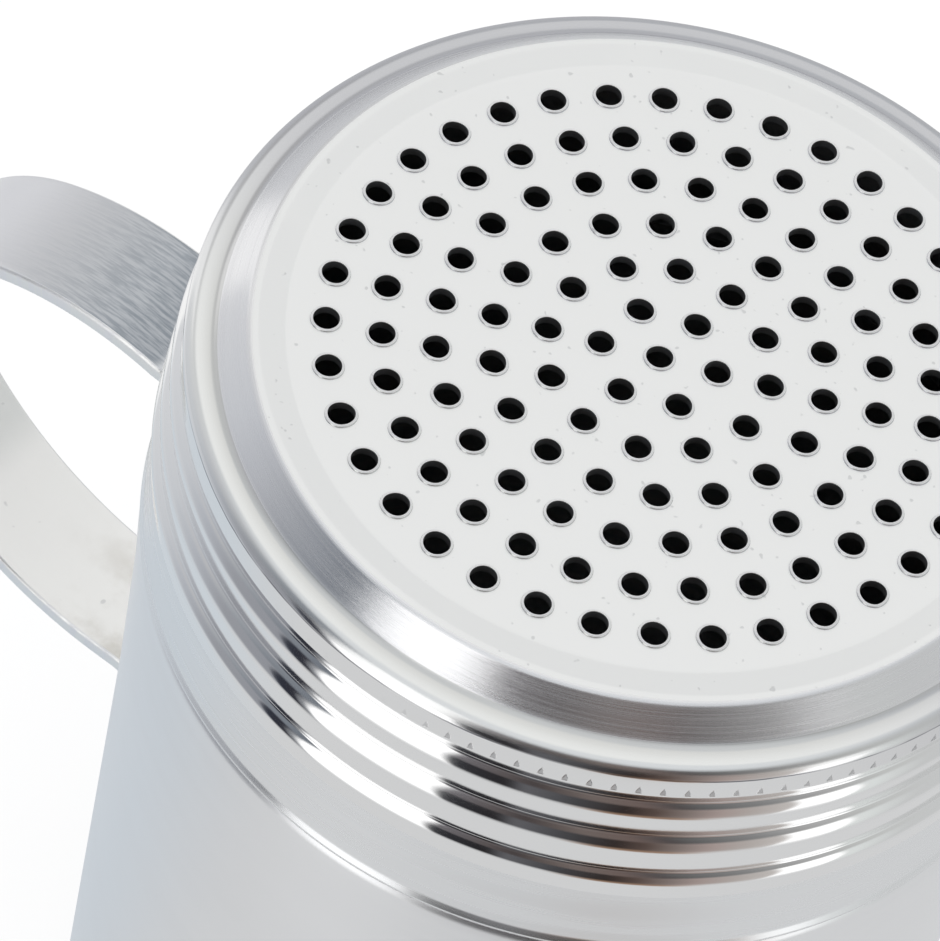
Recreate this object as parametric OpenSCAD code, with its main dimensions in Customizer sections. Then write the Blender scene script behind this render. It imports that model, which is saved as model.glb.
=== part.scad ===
// Handled shaker for salt, sugar or spices, 10 oz size: a drawn aluminium can, a bent strap
// handle welded to its side, and a pressed lid with a perforated top that pulls straight off.
// Origin: centre of the base, on the surface the can stands on. +Z up, handle towards -X.

/* [Whole shaker] */
// Height from the base to the perforated plate
total_h = 95; // [80:0.5:120]

/* [Can] */
// Outside radius of the straight wall, which the lid and the handle follow
can_r = 34.2; // [30:0.1:40]
// Sheet thickness of the can
can_t = 0.8; // [0.5:0.05:1.2]
// Outside radius of the base corner
base_corner = 2.6; // [1.5:0.1:5]
// Flat width of the standing ring, inside that corner
base_ring = 1.8; // [0.8:0.1:8]
// Height of the base's raised middle above the standing ring
base_dish_h = 1.2; // [0.9:0.1:3]
// How far the shoulder swells beyond the straight wall
shoulder_swell = 0.55; // [0.2:0.05:1.2]
// Height of the full-width band at the top of the shoulder
shoulder_band = 2.7; // [1.5:0.1:5]
// Height over which the wall swells out to that band
shoulder_taper = 22; // [10:0.5:40]
// How much the neck narrows from the shoulder to its rim
neck_draft = 0.3; // [0:0.05:0.6]

/* [Lid] */
// Height of the lid from the plate to its lower edge
lid_h = 24.35; // [20:0.05:32]
// Sheet thickness of the lid
lid_t = 0.6; // [0.4:0.05:0.7]
// Height of the plate above the ledge around it
plate_h = 2.25; // [1.5:0.05:3]
// Slope of the bevel between plate and ledge, in degrees
bevel_angle = 46; // [40:1:60]
// How far the flat perforated plate's edge lies inside the can's outer wall
plate_inset = 4.6; // [4.2:0.05:6]
// How far the band under the ledge lies inside the can's outer wall
band_inset = 0.26; // [0:0.02:0.5]
// Rounding between the ledge and that band
ledge_round = 1.05; // [0.8:0.05:1.5]
// Depth of the first bead's crest below the plate
first_bead = 7.4; // [6.8:0.05:8.4]
// Height from that crest up to the band's lower edge
band_lift = 2.25; // [2:0.05:2.8]
// Distance from one bead to the next
bead_pitch = 4; // [3.6:0.05:4.5]
// Number of rolled beads
bead_count = 3; // [1:1:3]
// How far the first bead's crest stands out from the can's wall
bead_out = 0.25; // [0.1:0.01:0.6]
// How much each bead's crest is wider than the one above
bead_step = 0.24; // [0:0.02:0.3]
// Rounding of a bead's crest
bead_round = 1.5; // [1.3:0.05:1.6]
// Steepness of the upper side of a bead, in degrees
bead_flank = 57; // [50:1:60]
// How far the skirt above its flared edge stands out from the can's wall
skirt_out = 0.5; // [0.3:0.02:0.8]
// How far the skirt's lower edge flares out
flare = 0.18; // [0.1:0.01:0.25]
// Height of that flare
flare_h = 0.8; // [0.7:0.05:1.5]

/* [Perforation] */
// Diameter of a hole
hole_d = 1.95; // [1:0.05:2.6]
// Number of rings of holes around the middle one
rings = 6; // [1:1:6]
// Radius of the innermost ring
first_ring_r = 4.3; // [3.5:0.1:5]
// Distance from one ring to the next
ring_pitch = 3.94; // [3.4:0.02:4.2]
// How far the pattern is turned about the lid's axis, in degrees
pattern_turn = -5; // [-30:1:30]

/* [Handle] */
// Width of the strap
strap_w = 10.8; // [8:0.1:14]
// Thickness of the strap
strap_t = 1.5; // [1:0.1:2]
// Distance from the shoulder's edge down to the upper weld foot
foot_gap = 1.05; // [0.6:0.05:5]
// Length of the upper weld foot
upper_foot = 4.4; // [3.8:0.1:8]
// Length of the lower weld foot
lower_foot = 8; // [5:0.1:10]
// Bend radius between a foot and the loop, at the middle of the strap
foot_bend = 2.25; // [1.5:0.05:3]
// Rise of the strap where it leaves the upper foot, in degrees
rise_angle = 12; // [5:1:20]
// Radius of the loop's top, at the middle of the strap
top_radius = 26.5; // [22:0.5:30]
// Turn of the loop's top, in degrees
top_turn = 36; // [30:1:45]
// Radius of the loop's outer end
end_radius = 17.8; // [15:0.2:20]
// Turn of the loop's outer end, in degrees
end_turn = 105; // [95:1:115]
// Straight left between the loop's lower run and the lower foot's bend
low_straight = 1.75; // [0.5:0.05:6]
// Diameter of a weld's dimple
weld_d = 3.2; // [2:0.1:4]
// Depth of a weld's dimple
weld_depth = 0.25; // [0.1:0.05:0.4]
// Distance between the two welds of a foot
weld_gap = 5; // [4:0.1:6]

/* [Fits] */
// Radial gap between the lid's tightest crease and the can's neck
slip_gap = 0.3; // [0.1:0.05:0.5]
// Gap between the lid's lower edge and the can's shoulder
edge_gap = 0.2; // [0.1:0.05:0.4]

/* [Hidden] */

turned_fn = 128;
hole_fn = 32;
arc_step = 5; // degrees of turn for one side of a drawn arc

shoulder_round = can_t + 0.2;
neck_foot_round = 0.5;
band_blend = 3; // roundings from the shoulder's band through the taper to the straight wall
taper_blend = 40;
wall_blend = 60;
ring_round = can_t + 0.4; // inner edge of the standing ring
dish_round = 1.5;
rim_round = 0.25;

crease_round = 0.25;
lower_flank = 19; // slope of a bead's lower side, in degrees
last_flank = 7; // the same below the last bead
last_bead_round = 0.79 * bead_round;
flank_flat = 0.2; // flat left between a crease's round and a crest's round
last_bead_inset = 0.16; // lower end of the last bead's side, in from its crest
last_bead_drop = 1.75; // and down from it
skirt_blend = 1.2;
flare_blend = 0.7;
lip_h = 0.35 * lid_t; // upright lip at the very edge of the skirt
band_foot_round = lid_t + 0.15;
plate_edge_round = lid_t + 0.15;
bevel_foot_round = 0.8;
cut_past = 1; // how far a cut runs past the faces that it opens

lid_bottom = total_h - lid_h;
rim_z = total_h - plate_h - lid_t;
shoulder_z = lid_bottom - edge_gap;
shoulder_r = can_r + shoulder_swell;
base_dish_r = can_r - base_corner - base_ring - base_dish_h;

band_r = can_r - band_inset;
plate_r = can_r - plate_inset;
bead_r = can_r + bead_out;
skirt_r = can_r + skirt_out;

// ---- Outlines, as lists of [radius, height, rounding] ----

function unit(v) = v / norm(v);

// Points of the arc that rounds corner b between its neighbours a and c.
function fillet(a, b, c) =
    let (p = [b[0], b[1]],
         u = unit([a[0], a[1]] - p), v = unit([c[0], c[1]] - p),
         half = acos(u * v) / 2,
         mid = p + unit(u + v) * b[2] / sin(half),
         start = p + u * b[2] / tan(half) - mid,
         sweep = (180 - 2 * half) * sign(u[0] * v[1] - u[1] * v[0]),
         from = atan2(start[1], start[0]),
         n = max(2, ceil(abs(sweep) / arc_step)))
    [for (k = [0:n]) mid + b[2] * [cos(from - sweep * k / n), sin(from - sweep * k / n)]];

// An outline with its corners rounded, as plain points.
function rounded(c) =
    [for (i = [0:len(c) - 1]) each (
        i == 0 || i == len(c) - 1 || c[i][2] == 0
            ? [[c[i][0], c[i][1]]]
            : fillet(c[i - 1], c[i], c[i + 1]))];

// The same line moved by t towards its right-hand side.
function beside(p, t) =
    [for (i = [0:len(p) - 1])
        let (before = i == 0 ? undef : unit(p[i] - p[i - 1]),
             after = i == len(p) - 1 ? undef : unit(p[i + 1] - p[i]),
             first = i == 0 ? after : before,
             last = i == len(p) - 1 ? before : after,
             along = unit(first + last))
        p[i] + [along[1], -along[0]] * t / (along * last)];

function backwards(p) = [for (i = [len(p) - 1:-1:0]) p[i]];

// Sheet metal of one thickness, whose outer face follows the rounded outline c.
module pressed_sheet(c, t) {
    outer = rounded(c);
    rotate_extrude($fn = turned_fn) polygon(concat(outer, backwards(beside(outer, t))));
}

// ---- Can ----

// Outer face of the can from the top of the shoulder to the middle of the base.
function can_side() = [
    [shoulder_r, shoulder_z, shoulder_round],
    [shoulder_r, shoulder_z - shoulder_band, band_blend],
    [can_r + shoulder_swell / 2, shoulder_z - shoulder_band - shoulder_taper / 4, taper_blend],
    [can_r, shoulder_z - shoulder_band - shoulder_taper, wall_blend],
    [can_r, 0, base_corner],
    [base_dish_r + base_dish_h, 0, ring_round],
    [base_dish_r, base_dish_h, dish_round],
    [0, base_dish_h, 0]];

neck_top_r = min(bead_crease(0)[0] - lid_t - slip_gap, band_r - ledge_round - rim_round);

module can_body() {
    outline = concat([
        [neck_top_r, rim_z, 0],
        [neck_top_r + neck_draft, shoulder_z, neck_foot_round]],
        can_side());
    color([0.80, 0.82, 0.85]) difference() {
        pressed_sheet(outline, can_t);
        rim_break();
    }
}

// Ring that takes the sharp outer corner off the can's rim.
module rim_break() {
    rotate_extrude($fn = turned_fn) polygon([
        [neck_top_r - rim_round, rim_z],
        [neck_top_r + cut_past, rim_z - rim_round - cut_past],
        [neck_top_r + cut_past, rim_z + cut_past],
        [neck_top_r - rim_round, rim_z + cut_past]]);
}

// Everything inside the can's outer face, up to the shoulder.
module can_envelope() {
    rotate_extrude($fn = turned_fn)
        polygon(rounded(concat([[0, shoulder_z, 0]], can_side())));
}

// ---- Lid ----

function bead_rounding(i) = i == bead_count - 1 ? last_bead_round : bead_round;
function bead_fall(i) = i == bead_count - 1 ? last_flank : lower_flank;

// Corner where the two sides of bead i would meet, if its crest weren't round.
function bead_corner(i) =
    let (half = (bead_flank + bead_fall(i)) / 2, tilt = (bead_flank - bead_fall(i)) / 2,
         reach = bead_rounding(i) / cos(half))
    [bead_r + i * bead_step + reach * cos(tilt) - bead_rounding(i),
     total_h - first_bead - i * bead_pitch + reach * sin(tilt)];

// Corner of the crease above bead i.
function bead_crease(i) =
    let (half = (bead_flank + bead_fall(i)) / 2,
         side = (bead_rounding(i) + crease_round) * tan(half) + flank_flat)
    bead_corner(i) - side * [sin(bead_flank), -cos(bead_flank)];

last_crest_z = total_h - first_bead - (bead_count - 1) * bead_pitch;
last_crest_r = bead_r + (bead_count - 1) * bead_step;

function lid_outline() = concat([
    [0, total_h, 0],
    [plate_r, total_h, plate_edge_round],
    [plate_r + plate_h / tan(bevel_angle), total_h - plate_h, bevel_foot_round],
    [band_r, total_h - plate_h, ledge_round],
    [band_r, total_h - first_bead + band_lift, band_foot_round]],
    [for (i = [0:bead_count - 1]) each [
        concat(bead_crease(i), [crease_round]),
        concat(bead_corner(i), [bead_rounding(i)])]],
    [[last_crest_r - last_bead_inset, last_crest_z - last_bead_drop, skirt_blend],
     [skirt_r, lid_bottom + flare_h, flare_blend],
     [skirt_r + flare, lid_bottom + lip_h, 0],
     [skirt_r + flare, lid_bottom, 0]]);

// Angle of the first hole of ring n: odd rings are turned by half a step.
function ring_turn(n) = pattern_turn + (n % 2 == 1 ? 30 / n : 0);

module perforation() {
    for (n = [1:rings], k = [0:6 * n - 1])
        rotate(ring_turn(n) + k * 60 / n) translate([first_ring_r + (n - 1) * ring_pitch, 0]) hole();
    hole();
}

module hole() {
    translate([0, 0, total_h - lid_t - cut_past])
        cylinder(d = hole_d, h = lid_t + 2 * cut_past, $fn = hole_fn);
}

module perforated_lid() {
    color([0.84, 0.84, 0.85]) difference() {
        pressed_sheet(lid_outline(), lid_t);
        perforation();
    }
}

// ---- Handle ----

// The strap runs from the upper foot round the loop to the lower foot. Each run is
// [radius, turn]: a turn to the left is positive, and radius 0 marks a straight of length turn.
loop_runs = [
    [foot_bend, 90 + rise_angle], [top_radius, -top_turn], [end_radius, -end_turn]];

upper_wall = shoulder_r + strap_t / 2;
lower_wall = can_r + strap_t / 2;
loop_start = [upper_wall, shoulder_z - foot_gap - upper_foot];

function turn_of(run) = run[0] == 0 ? 0 : run[1];
function heading(runs, i) = i == 0 ? -90 : heading(runs, i - 1) + turn_of(runs[i - 1]);

// A run's points after its first, for a run that begins at p with heading h.
function run_points(run, p, h) =
    let (side = sign(run[1]), n = run[0] == 0 ? 1 : ceil(abs(run[1]) / arc_step))
    [for (k = [1:n]) let (a = h + run[1] * k / n)
        p + (run[0] == 0
            ? run[1] * [cos(h), sin(h)]
            : run[0] * side * [sin(a) - sin(h), cos(h) - cos(a)])];

// Where run i begins, walking the runs one after another.
function place(runs, i) =
    i == 0 ? loop_start
    : let (p = run_points(runs[i - 1], place(runs, i - 1), heading(runs, i - 1))) p[len(p) - 1];

// The lower run turns level and comes back to the wall, so its radius follows from the rest.
low_turn = 180 + rise_angle - top_turn - end_turn;
low_radius =
    (place(loop_runs, len(loop_runs))[0] - lower_wall - foot_bend - low_straight) / sin(low_turn);
strap_runs = concat(loop_runs, [[low_radius, -low_turn], [0, low_straight], [foot_bend, 90]]);
loop_end = place(strap_runs, len(strap_runs));

// Middle line of the strap, from the top of the upper foot to the end of the lower one.
strap_line = concat(
    [loop_start + [0, upper_foot], loop_start],
    [for (i = [0:len(strap_runs) - 1])
        each run_points(strap_runs[i], place(strap_runs, i), heading(strap_runs, i))],
    [loop_end - [0, lower_foot]]);

// Outline of the strap seen from the side. Its feet reach into the wall, where they are cut to fit.
function strap_outline() =
    let (inner = beside(strap_line, strap_t / 2), last = len(inner) - 1,
         deep = [strap_t / 2 + shoulder_swell + cut_past, 0])
    concat(beside(strap_line, -strap_t / 2),
        [strap_line[last] - deep, strap_line[last - 1] - deep],
        [for (i = [last - 1:-1:1]) inner[i]],
        [strap_line[1] - deep, strap_line[0] - deep]);

module weld_dimples(wall, z) {
    for (y = [-1, 1])
        translate([wall + strap_t / 2, y * weld_gap / 2, z]) rotate([0, 90, 0])
            translate([0, 0, -weld_depth]) cylinder(d = weld_d, h = weld_depth + cut_past, $fn = hole_fn);
}

module strap_handle() {
    color([0.78, 0.78, 0.77]) mirror([1, 0, 0]) difference() {
        rotate([90, 0, 0]) linear_extrude(strap_w, center = true) polygon(strap_outline());
        can_envelope();
        weld_dimples(upper_wall, loop_start[1] + upper_foot / 2);
        weld_dimples(lower_wall, loop_end[1] - lower_foot / 2);
    }
}

can_body();
perforated_lid();
strap_handle();
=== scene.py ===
import math

import bmesh
import bpy
import numpy as np
from mathutils import Matrix, Vector
from mathutils.geometry import delaunay_2d_cdt


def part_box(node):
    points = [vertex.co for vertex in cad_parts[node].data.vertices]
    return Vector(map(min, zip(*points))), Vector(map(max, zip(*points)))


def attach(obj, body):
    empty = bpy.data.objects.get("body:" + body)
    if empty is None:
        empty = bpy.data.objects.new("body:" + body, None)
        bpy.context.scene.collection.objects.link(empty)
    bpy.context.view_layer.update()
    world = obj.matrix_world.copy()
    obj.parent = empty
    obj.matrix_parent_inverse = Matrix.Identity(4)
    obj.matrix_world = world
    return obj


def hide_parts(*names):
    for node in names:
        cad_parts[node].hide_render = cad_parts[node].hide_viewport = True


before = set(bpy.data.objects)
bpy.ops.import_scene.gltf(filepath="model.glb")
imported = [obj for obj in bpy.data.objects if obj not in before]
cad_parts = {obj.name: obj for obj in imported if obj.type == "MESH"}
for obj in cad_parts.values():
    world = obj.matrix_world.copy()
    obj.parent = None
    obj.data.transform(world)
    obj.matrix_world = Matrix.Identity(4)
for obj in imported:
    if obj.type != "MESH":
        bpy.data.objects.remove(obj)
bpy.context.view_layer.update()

# Everything below is worked out in millimetres and put into the meshes in metres.
mm = 0.001
print("frame loaded:", ", ".join(sorted(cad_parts)))

# ---- What the frame says ----
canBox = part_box("can_body")
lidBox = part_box("perforated_lid")
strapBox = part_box("strap_handle")
plateZ = lidBox[1][2] / mm
lidFootZ = lidBox[0][2] / mm
lidWidest = lidBox[1][0] / mm
canWidest = canBox[1][0] / mm
canRimZ = canBox[1][2] / mm
strapWidth = (strapBox[1][1] - strapBox[0][1]) / mm

# ---- Outlines ----

# Rounds the inner corners of a line of (radius, height, rounding): each corner becomes an arc
# that is tangent to both of its sides, with a point every turnStep degrees.
def roundedLine(corners, turnStep=6):
    pieces = []
    for i, corner in enumerate(corners):
        here = np.array(corner[:2], float)
        if i in (0, len(corners) - 1) or corner[2] == 0:
            pieces.append(here[None])
            continue
        u = unit(np.array(corners[i - 1][:2], float) - here)
        v = unit(np.array(corners[i + 1][:2], float) - here)
        half = math.acos(np.clip(u @ v, -1, 1)) / 2
        middle = here + unit(u + v) * corner[2] / math.sin(half)
        start = here + u * corner[2] / math.tan(half) - middle
        sweep = -(math.pi - 2 * half) * np.sign(u[0] * v[1] - u[1] * v[0])
        count = max(3, math.ceil(abs(math.degrees(sweep)) / turnStep) + 1)
        angle = math.atan2(start[1], start[0]) + np.linspace(0, sweep, count)
        pieces.append(middle + corner[2] * np.stack([np.cos(angle), np.sin(angle)], 1))
    return np.concatenate(pieces)


def unit(v):
    return v / np.linalg.norm(v)


# The same line moved sideways by a distance, to its right-hand side, with mitred corners.
def movedLine(line, distance):
    along = np.diff(line, axis=0)
    along /= np.linalg.norm(along, axis=1)[:, None]
    before = np.vstack([along[:1], along])
    after = np.vstack([along, along[-1:]])
    bisector = before + after
    bisector /= np.linalg.norm(bisector, axis=1)[:, None]
    reach = distance / (bisector * after).sum(1)
    return line + np.stack([bisector[:, 1], -bisector[:, 0]], 1) * reach[:, None]


# ---- Meshes from arrays ----

# A profile (radius, height) carried round +Z: point (i, j) is profile point i turned by 2 pi j / around.
def revolvedGrid(profile, around):
    turn = 2 * math.pi * np.arange(around) / around
    radius = profile[:, 0][:, None]
    height = np.broadcast_to(profile[:, 1][:, None], (len(profile), around))
    return np.stack([radius * np.cos(turn), radius * np.sin(turn), height], 2)


# Quads of a grid of n by m points, with its last column joined to its first where asked, and turned
# over where flip says so.
def gridFaces(n, m, closeColumns=False, flip=False):
    rows = np.arange(n - 1)
    columns = np.arange(m if closeColumns else m - 1)
    i, j = np.meshgrid(rows, columns, indexing="ij")
    i2, j2 = i + 1, (j + 1) % m
    quads = np.stack([i * m + j, i2 * m + j, i2 * m + j2, i * m + j2], 2).reshape(-1, 4)
    return quads[:, ::-1] if flip else quads


# Collects patches of points, faces and material numbers, and merges them into one mesh.
class Sheet:
    def __init__(self):
        self.points, self.faces, self.finish, self.count = [], [], [], 0

    def add(self, points, faces, finish=0):
        flat = np.asarray(points, float).reshape(-1, 3)
        self.points.append(flat)
        self.faces += (np.asarray(faces) + self.count).tolist()
        self.finish.append(np.broadcast_to(finish, len(faces)))
        self.count += len(flat)

    def build(self, name, materials, smooth=True):
        mesh = bpy.data.meshes.new(name)
        mesh.from_pydata((np.concatenate(self.points) * mm).tolist(), [], self.faces)
        mesh.polygons.foreach_set("material_index", np.concatenate(self.finish).astype(np.int32))
        for material in materials:
            mesh.materials.append(material)
        bm = bmesh.new()
        bm.from_mesh(mesh)
        bmesh.ops.remove_doubles(bm, verts=bm.verts, dist=2e-7)
        bmesh.ops.dissolve_degenerate(bm, edges=bm.edges, dist=1e-8)
        bm.to_mesh(mesh)
        bm.free()
        mesh.polygons.foreach_set("use_smooth", [smooth] * len(mesh.polygons))
        mesh.update()
        piece = bpy.data.objects.new(name, mesh)
        bpy.context.scene.collection.objects.link(piece)
        print(name, "faces:", len(mesh.polygons))
        return piece


# ---- Shader helpers ----

def node(tree, kind, **settings):
    made = tree.nodes.new(kind)
    for key, value in settings.items():
        setattr(made, key, value)
    return made


# Puts a value or another node's output into a socket.
def feed(tree, socket, value):
    if isinstance(value, bpy.types.NodeSocket):
        tree.links.new(value, socket)
    else:
        socket.default_value = value


def calc(tree, operation, *inputs, clamp=False):
    made = node(tree, "ShaderNodeMath", operation=operation, use_clamp=clamp)
    for socket, value in zip(made.inputs, inputs):
        feed(tree, socket, value)
    return made.outputs[0]


# A smooth step: 0 where value is at low, 1 where it is at high.
def step(tree, value, low, high, outLow=0.0, outHigh=1.0):
    made = node(tree, "ShaderNodeMapRange", interpolation_type="SMOOTHSTEP")
    for name, given in (("Value", value), ("From Min", low), ("From Max", high),
                        ("To Min", outLow), ("To Max", outHigh)):
        feed(tree, made.inputs[name], given)
    return made.outputs[0]


# 1 between low and high and 0 outside, with soft ends.
def isBetween(tree, value, low, high, soft):
    rise = step(tree, value, low - soft / 2, low + soft / 2)
    fall = step(tree, value, high - soft / 2, high + soft / 2, 1.0, 0.0)
    return calc(tree, "MULTIPLY", rise, fall)


def blendColor(tree, factor, a, b, mode="MIX"):
    made = node(tree, "ShaderNodeMix", data_type="RGBA", blend_type=mode)
    feed(tree, made.inputs["Factor"], factor)
    feed(tree, made.inputs[6], a)
    feed(tree, made.inputs[7], b)
    return made.outputs[2]


def noise(tree, vector, scale, detail=3.0, roughness=0.55):
    made = node(tree, "ShaderNodeTexNoise")
    feed(tree, made.inputs["Vector"], vector)
    for name, value in (("Scale", scale), ("Detail", detail), ("Roughness", roughness)):
        feed(tree, made.inputs[name], value)
    return made.outputs["Fac"]


def placed(tree, **parts):
    made = node(tree, "ShaderNodeCombineXYZ")
    for key, value in parts.items():
        feed(tree, made.inputs[key], value)
    return made.outputs[0]


# The x, y and z of the place on the object, in metres.
def placeParts(tree):
    split = node(tree, "ShaderNodeSeparateXYZ")
    feed(tree, split.inputs[0], node(tree, "ShaderNodeTexCoord").outputs["Object"])
    return split.outputs


# Distance from the axis: the root of x squared plus y squared.
def fromAxis(tree, x, y):
    squares = calc(tree, "ADD", calc(tree, "POWER", x, 2.0), calc(tree, "POWER", y, 2.0))
    return calc(tree, "SQRT", squares)


# The smooth step again, between two places given in millimetres.
def stepAt(tree, value, ends, outLow=0.0, outHigh=1.0):
    return step(tree, value, ends[0] * mm, ends[1] * mm, outLow, outHigh)


# An empty group with float inputs and outputs, named as the dictionary says.
def newGroup(name, inputs, outputs):
    group = bpy.data.node_groups.new(name, "ShaderNodeTree")
    for key, value in inputs.items():
        socket = group.interface.new_socket(key, in_out="INPUT", socket_type="NodeSocketFloat")
        socket.default_value = value
    for key in outputs:
        group.interface.new_socket(key, in_out="OUTPUT", socket_type="NodeSocketFloat")
    return group, node(group, "NodeGroupInput").outputs, node(group, "NodeGroupOutput").inputs


def useGroup(tree, group, **values):
    made = node(tree, "ShaderNodeGroup", node_tree=group)
    for key, value in values.items():
        feed(tree, made.inputs[key], value)
    return made.outputs


# Lines that run round the axis, as a lathe or a spinning chuck leaves them. Noise is read at
# (cos turn, sin turn) times how fast it may change along a line, and radius minus height across.
def spunLinesGroup():
    tree, given, out = newGroup("spun lines", {"Fineness": 9.0, "Along": 1.5}, ["Height", "Broad"])
    x, y, z = placeParts(tree)
    radius = fromAxis(tree, x, y)
    safe = calc(tree, "MAXIMUM", radius, 0.001)
    across = calc(tree, "MULTIPLY", calc(tree, "SUBTRACT", radius, z), 1000.0)
    x = calc(tree, "MULTIPLY", calc(tree, "DIVIDE", x, safe), given["Along"])
    y = calc(tree, "MULTIPLY", calc(tree, "DIVIDE", y, safe), given["Along"])
    fine = placed(tree, X=x, Y=y, Z=calc(tree, "MULTIPLY", across, given["Fineness"]))
    broad = placed(tree, X=x, Y=y, Z=calc(tree, "MULTIPLY", across, 0.9))
    feed(tree, out["Height"], noise(tree, fine, 1.0, 4.0, 0.7))
    feed(tree, out["Broad"], noise(tree, broad, 1.0, 2.0))
    return tree


# Soft blotches and small specks, for handling marks and dull spots.
def handledGroup():
    tree, given, out = newGroup("handled", {"Size": 60.0, "Specks": 900.0}, ["Blotch", "Speck"])
    place = node(tree, "ShaderNodeTexCoord").outputs["Object"]
    feed(tree, out["Blotch"], step(tree, noise(tree, place, given["Size"], 5.0, 0.6), 0.45, 0.68))
    feed(tree, out["Speck"], step(tree, noise(tree, place, given["Specks"], 1.0, 0.4), 0.73, 0.80))
    return tree


# Fine scratches along a strap, read in its own UV map: u runs along it and v across, in millimetres.
def strapLinesGroup():
    tree, given, out = newGroup("strap lines", {"Fineness": 3.0, "Length": 0.12}, ["Height", "Streak"])
    place = node(tree, "ShaderNodeUVMap", uv_map="strapMap").outputs[0]
    split = node(tree, "ShaderNodeSeparateXYZ")
    feed(tree, split.inputs[0], place)
    u = calc(tree, "MULTIPLY", split.outputs[0], given["Length"])
    fine = placed(tree, X=u, Y=calc(tree, "MULTIPLY", split.outputs[1], given["Fineness"]))
    wide = placed(tree, X=calc(tree, "MULTIPLY", u, 1.4), Y=calc(tree, "MULTIPLY", split.outputs[1], 3.6))
    feed(tree, out["Height"], noise(tree, fine, 1.0, 4.0, 0.7))
    feed(tree, out["Streak"], noise(tree, wide, 1.0, 4.0, 0.65))
    return tree


spunLines = spunLinesGroup()
handled = handledGroup()
strapLines = strapLinesGroup()


# A metal surface: color and roughness may be sockets, height feeds the bump.
def metal(name, buildParts, anisotropic=0.0):
    material = bpy.data.materials.new(name)
    material.use_nodes = True
    tree = material.node_tree
    shader = tree.nodes["Principled BSDF"]
    parts = buildParts(tree)
    feed(tree, shader.inputs["Base Color"], parts["color"])
    feed(tree, shader.inputs["Roughness"], parts["roughness"])
    shader.inputs["Metallic"].default_value = parts.get("metallic", 1.0)
    if "height" in parts:
        bump = node(tree, "ShaderNodeBump")
        bump.inputs["Strength"].default_value = parts.get("strength", 0.2)
        bump.inputs["Distance"].default_value = parts.get("depth", 0.00002)
        feed(tree, bump.inputs["Height"], parts["height"])
        feed(tree, shader.inputs["Normal"], bump.outputs[0])
    if anisotropic:
        shader.inputs["Anisotropic"].default_value = anisotropic
        shader.inputs["Anisotropic Rotation"].default_value = 0.25
        tangent = node(tree, "ShaderNodeTangent", direction_type="RADIAL", axis="Z")
        feed(tree, shader.inputs["Tangent"], tangent.outputs[0])
    return material


# ---- Finishes ----

finish = {
    "plate": (0.92, 0.92, 0.915),
    "plateShade": (0.89, 0.89, 0.885),
    "bevel": (0.89, 0.89, 0.90),
    "bevelShade": (0.76, 0.76, 0.78),
    "ledge": (0.85, 0.855, 0.85),
    # Painted shade in the ledge's inner corner.
    "ledgeCornerShade": (0.70, 0.70, 0.69),
    # Painted shade on the far side of ledge and toothed band.
    "farSideShade": (0.63, 0.63, 0.655),
    "bead": (0.91, 0.91, 0.91),
    "skirt": (0.90, 0.91, 0.92),
    "can": (0.93, 0.935, 0.945),
    "canShade": (0.88, 0.885, 0.895),
    # Painted shade: the insides of lid, holes and can are darkened.
    "inside": (0.50, 0.48, 0.46),
    "strap": (0.90, 0.90, 0.92),
    "strapShade": (0.33, 0.36, 0.40),
    "strapEdge": (0.92, 0.92, 0.91),
    "strapInner": (0.90, 0.895, 0.875),
    # Painted dark reflection on the far part of the strap's inner face.
    "strapFarReflection": (0.74, 0.75, 0.735),
    "burnt": (0.52, 0.49, 0.43),
    # Dark specks, and painted shade in the teeth's notches.
    "speckAndNotchShade": (0.42, 0.42, 0.43),
    # Painted shade: a dark line above the teeth.
    "crease": (0.14, 0.14, 0.17),
}


# Where a tint begins and where it is full, in millimetres: the painted shade in the ledge's inner corner by
# radius, the painted shade on the far side of ledge and band by y, and along the strap by x, with a painted
# dark reflection far out on the inner face.
tintAt = {
    "ledgeOuter": (31.8, 33.1), "back": (-22.0, 4.0), "strapNear": (-58.0, -40.0),
    "strapFoot": (-38.5, -37.2), "innerFarReflection": (-53.0, -57.0), "innerNear": (-50.0, -36.0),
}


def rgb(name):
    return (*finish[name], 1.0)


def plateSheet(tree):
    lines = useGroup(tree, spunLines, Fineness=2.2, Along=3.0)
    marks = useGroup(tree, handled, Size=110.0, Specks=1500.0)
    color = blendColor(tree, calc(tree, "MULTIPLY", marks["Blotch"], 0.35), rgb("plate"), rgb("plateShade"))
    color = blendColor(tree, calc(tree, "MULTIPLY", marks["Speck"], 0.35), color, rgb("speckAndNotchShade"))
    return {"color": color, "roughness": step(tree, marks["Blotch"], 0.0, 1.0, 0.50, 0.46),
            "height": lines["Height"], "strength": 0.12, "depth": 0.00002}


def bevelSheet(tree):
    lines = useGroup(tree, spunLines, Fineness=7.0, Along=1.2)
    color = blendColor(tree, calc(tree, "MULTIPLY", lines["Broad"], 0.5), rgb("bevel"), rgb("bevelShade"))
    return {"color": color, "roughness": step(tree, lines["Height"], 0.3, 0.7, 0.20, 0.30),
            "height": lines["Height"], "strength": 0.25, "depth": 0.00003}


def ledgeSheet(tree):
    lines = useGroup(tree, spunLines, Fineness=5.0, Along=1.2)
    x, y, _ = placeParts(tree)
    # Painted shade: the ledge is darker in its inner corner, by radius.
    outer = stepAt(tree, fromAxis(tree, x, y), tintAt["ledgeOuter"])
    color = blendColor(tree, outer, rgb("ledgeCornerShade"), rgb("ledge"))
    # Painted shade: the ledge's far side is darker.
    color = blendColor(tree, stepAt(tree, y, tintAt["back"]), color, rgb("farSideShade"))
    return {"color": color, "roughness": step(tree, lines["Broad"], 0.3, 0.7, 0.16, 0.24),
            "height": lines["Height"], "strength": 0.12, "depth": 0.00002}


def beadSheet(tree):
    lines = useGroup(tree, spunLines, Fineness=6.0, Along=1.5)
    return {"color": rgb("bead"), "roughness": step(tree, lines["Broad"], 0.3, 0.7, 0.06, 0.10),
            "height": lines["Height"], "strength": 0.10, "depth": 0.00001}
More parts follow.
